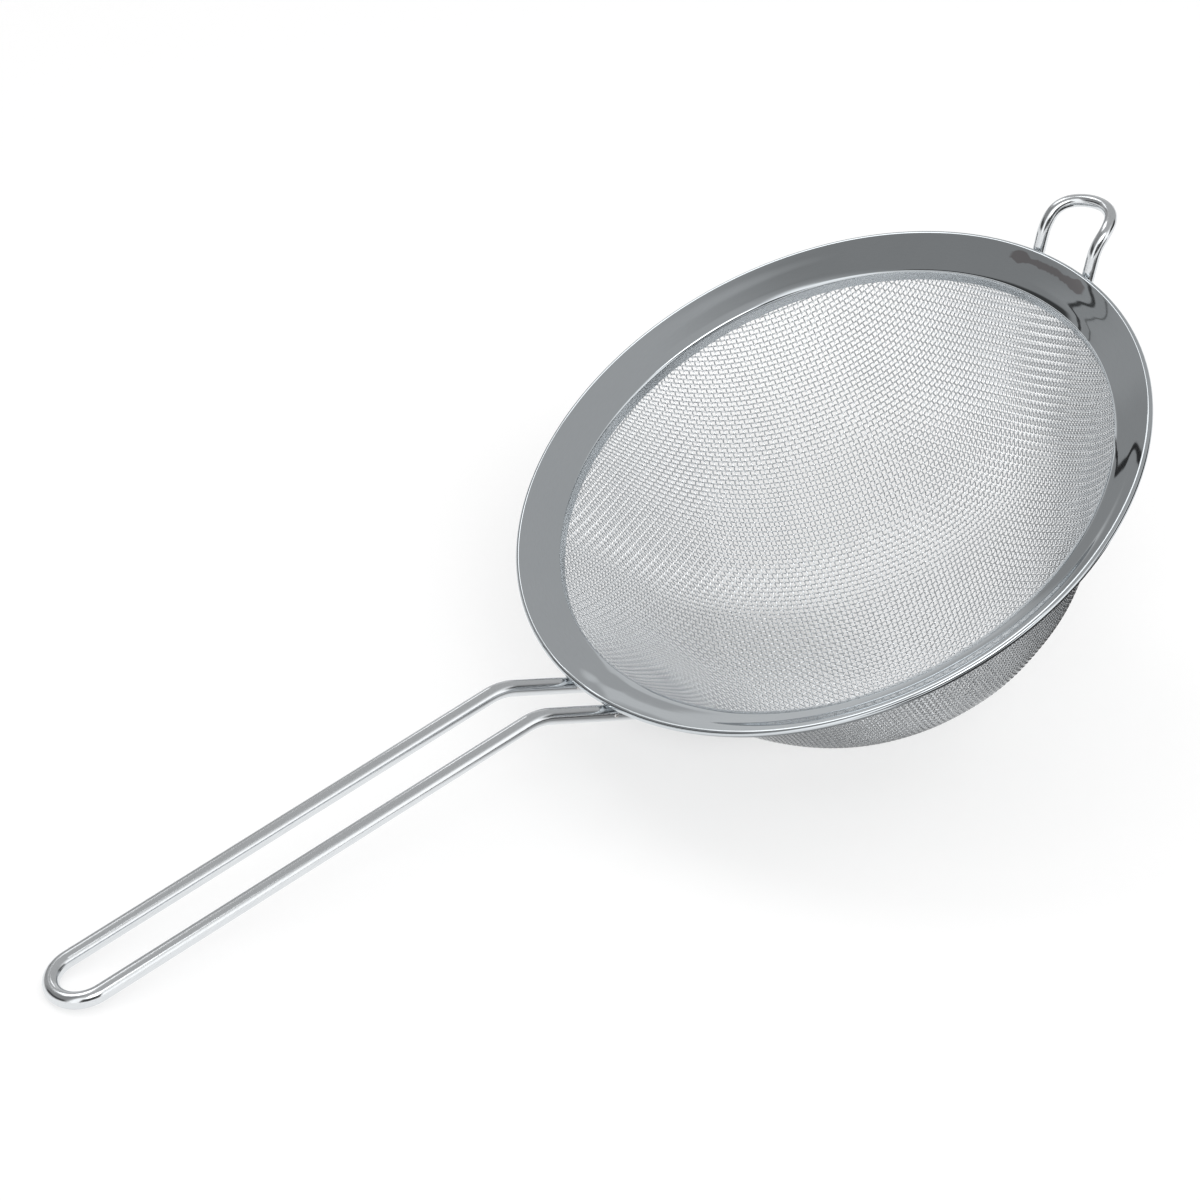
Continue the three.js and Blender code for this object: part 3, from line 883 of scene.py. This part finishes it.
def make_camera():
    data = bpy.data.cameras.new("photo_camera")
    data.lens = CAMERA_LENS
    data.sensor_width = FILM_WIDTH
    camera = bpy.data.objects.new("photo_camera", data)
    bpy.context.scene.collection.objects.link(camera)
    look = (CAMERA_TARGET - CAMERA_PLACE).to_track_quat("-Z", "Y").to_matrix().to_4x4()
    roll = Matrix.Rotation(math.radians(CAMERA_ROLL), 4, "Z")
    camera.matrix_world = Matrix.Translation(CAMERA_PLACE * MM) @ look @ roll
    bpy.context.scene.camera = camera


# Table, as the metal and the camera see it: a grey that takes the shadow, a white of its own, soft painted
# shadows

TABLE_SIZE = 14.0
TABLE_COLOUR = (0.85, 0.85, 0.85, 1)
# The shades in both looks are painted shadow on the table near the bowl, in the metal and to the camera
MIRRORED_TABLE = (0.3, 0.8, ((-35, -90, 40, 100, 0.1),))
SEEN_TABLE = (0.46, 0.59, ((70, 97, 30, 145, 0.78), (-6, 36, 10, 60, 0.5)))


def bowl_foot():
    """The place on the table where the bowl rests."""
    centre = RIM_TO_REST @ Vector((0, 0, BOWL_CENTRE * MM))
    return Vector((centre.x, centre.y, 0))


def make_table():
    """White table: its own white where the camera or the metal sees it, with the shadow kept.

    A painted shadow has its place from the bowl's foot, its near and far reach and its least share of the
    white.
    """
    bpy.ops.object.select_all(action="DESELECT")
    bpy.ops.mesh.primitive_plane_add(size=TABLE_SIZE)
    table = bpy.context.object
    table.name = "table"
    material = bpy.data.materials.new("white_table")
    material.use_nodes = True
    tree = material.node_tree
    tree.nodes.remove(tree.nodes["Principled BSDF"])
    graph = Graph(tree)
    rays = tree.nodes.new("ShaderNodeLightPath").outputs
    mirrored = graph.math("MAXIMUM", rays["Is Glossy Ray"], rays["Is Transmission Ray"])
    place = graph.add("ShaderNodeTexCoord", output="Object")
    shader = graph.add("ShaderNodeBsdfDiffuse", TABLE_COLOUR)
    foot = bowl_foot()
    looks = ((mirrored, MIRRORED_TABLE), (rays["Is Camera Ray"], SEEN_TABLE))
    for seen, (grey, white, shades) in looks:
        # Each shade is a painted shadow: the table's white is darkened near the bowl's foot
        for x, y, near, far, least in shades:
            away = graph.distance(place, foot + Vector((x, y, 0)) * MM)
            clear = graph.smooth(away, near * MM, far * MM, least, 1.0)
            white = graph.math("MULTIPLY", clear, white)
        shaded = graph.add("ShaderNodeBsdfDiffuse", (grey, grey, grey, 1))
        glow = graph.add("ShaderNodeEmission", (1, 1, 1, 1), white)
        look = graph.add("ShaderNodeAddShader", shaded, glow)
        shader = graph.add("ShaderNodeMixShader", seen, shader, look)
    tree.links.new(shader, tree.nodes["Material Output"].inputs["Surface"])
    table.data.materials.append(material)


# Studio sky and its panels: bearing, half width, lowest and highest edge, softness, brightness

SKY_FADE = (0.05, 0.15)
SKY_LEVELS = (1.0, 0.5)
STUDIO_PANELS = (
    (-172, 22, 8, 40, 2, 0.34),
    (-160, 9, 8, 40, 4, 0.4),
    (-119, 31, 7, 66, 12, 0.297),
    (-117.5, 27.5, 6, 23, 2, 0.06),
    (149, 17, 13, 33, 2, 0.7),
    (168, 18, 26, 40, 2, 0.5),
    (15, 37, -40, 36, 18, 1.45),
    (-40, 40, -40, 50, 5, 1.35),
    (-25, 27, -40, 32, 3, 0.06),
    (58, 23, -10, 28, 7, 0.02),
    (-171, 10.5, 46.5, 58, 1.5, 2.6),
    (-154, 16, 50, 70, 2, 2.2),
    (-179, 0.7, 4, 30, 0.2, 0.03),
    (-149, 0.6, 4, 40, 0.2, 0.05),
    (-153, 0.25, 4, 40, 0.15, 0.13),
)

# Softboxes: bearing, height, distance and size in metres, power, and whether the metal shows them

SOFTBOXES = (
    ("key_softbox", -28, 44, 2.0, 1.0, 6, True),
    ("overhead_softbox", 30, 80, 2.2, 2.4, 18, False),
)

# Cards that only the metal shows: dark ones on the table, each with its grey, a white one with its glow

CARD_LIFT = 0.0005
CARD_ROUGHNESS = 0.9
DARK_CARDS = (
    ("dark_card_left", (-0.42, 0.41), (0.95, 0.6), 57, 0.14),
    ("dark_card_front", (0.047, -0.555), (0.21, 0.42), -13, 0.14),
    ("dark_card_right", (0.34, -0.455), (0.32, 0.86), 39, 0.04),
)
WHITE_CARD = ("white_card_behind", (0.12, 0.6, 0.6), (0.13, 0.22), 1.7)


def sky_way(bearing, height):
    """The way to a bearing, in degrees from the front towards the hook, and a height above the table."""
    a, e = math.radians(bearing), math.radians(height)
    return Vector((math.sin(a) * math.cos(e), -math.cos(a) * math.cos(e), math.sin(e)))


def lay_panel(graph, way, level, bearing, half, low, high, soft, bright):
    """Lays a panel with soft edges over the sky's level."""
    ahead = graph.along(way, sky_way(bearing, 0))
    beside = graph.along(way, sky_way(bearing + 90, 0))
    aside = graph.math("ABSOLUTE", graph.math("ARCTAN2", beside, ahead))
    rise = graph.math("ARCSINE", graph.add("ShaderNodeSeparateXYZ", way, output="Z"))
    half, low, high, soft = (math.radians(angle) for angle in (half, low, high, soft))
    share = graph.product(
        graph.smooth(aside, half + soft, half - soft),
        graph.smooth(rise, low - soft, low + soft),
        graph.smooth(rise, high + soft, high - soft),
    )
    rest = graph.math("MULTIPLY", level, graph.math("SUBTRACT", 1.0, share))
    return graph.math("ADD", rest, graph.math("MULTIPLY", share, bright))


def make_sky():
    """A pale studio: white low down and grey above, with the panels laid over it in turn."""
    world = bpy.data.worlds.new("studio")
    bpy.context.scene.world = world
    world.use_nodes = True
    graph = Graph(world.node_tree)
    way = graph.add("ShaderNodeTexCoord", output="Generated")
    level = graph.smooth(graph.add("ShaderNodeSeparateXYZ", way, output="Z"), *SKY_FADE, *SKY_LEVELS)
    for panel in STUDIO_PANELS:
        level = lay_panel(graph, way, level, *panel)
    background = world.node_tree.nodes["Background"]
    background.inputs["Color"].default_value = (1, 1, 1, 1)
    world.node_tree.links.new(level, background.inputs["Strength"])


def make_softbox(name, bearing, height, distance, size, power, mirrored):
    data = bpy.data.lights.new(name, "AREA")
    data.size = size
    data.energy = power
    lamp = bpy.data.objects.new(name, data)
    bpy.context.scene.collection.objects.link(lamp)
    place = sky_way(bearing, height) * distance
    lamp.location = place
    lamp.rotation_euler = (-place).to_track_quat("-Z", "Y").to_euler()
    lamp.visible_glossy = mirrored


def make_card(name, place, size, turn):
    """A card that only the metal shows, and the shader of its face."""
    bpy.ops.object.select_all(action="DESELECT")
    bpy.ops.mesh.primitive_plane_add(size=1)
    card = bpy.context.object
    card.name = name
    card.scale = (*size, 1)
    card.rotation_euler = [math.radians(angle) for angle in turn]
    card.location = place
    card.visible_camera = False
    card.visible_shadow = False
    card.visible_diffuse = False
    material = bpy.data.materials.new(name)
    material.use_nodes = True
    card.data.materials.append(material)
    return material.node_tree.nodes["Principled BSDF"]


def make_dark_card(name, middle, size, turn, grey):
    """A dark card lying on the table beside the picture."""
    shader = make_card(name, (*middle, CARD_LIFT), size, (0, 0, turn))
    shader.inputs["Base Color"].default_value = (grey, grey, grey, 1)
    shader.inputs["Roughness"].default_value = CARD_ROUGHNESS


def make_white_card(name, middle, size, glow):
    """A white card standing behind the sieve."""
    shader = make_card(name, middle, size, (90, 0, 0))
    shader.inputs["Base Color"].default_value = (0, 0, 0, 1)
    shader.inputs["Emission Color"].default_value = (1, 1, 1, 1)
    shader.inputs["Emission Strength"].default_value = glow


bpy.context.scene.view_settings.view_transform = "Standard"
make_camera()
make_rim()
make_clamp_band()
make_mesh_bowl()
make_handle()
make_hook()
make_welds()
make_table()
for dark_card in DARK_CARDS:
    make_dark_card(*dark_card)
make_white_card(*WHITE_CARD)
make_sky()
for softbox in SOFTBOXES:
    make_softbox(*softbox)
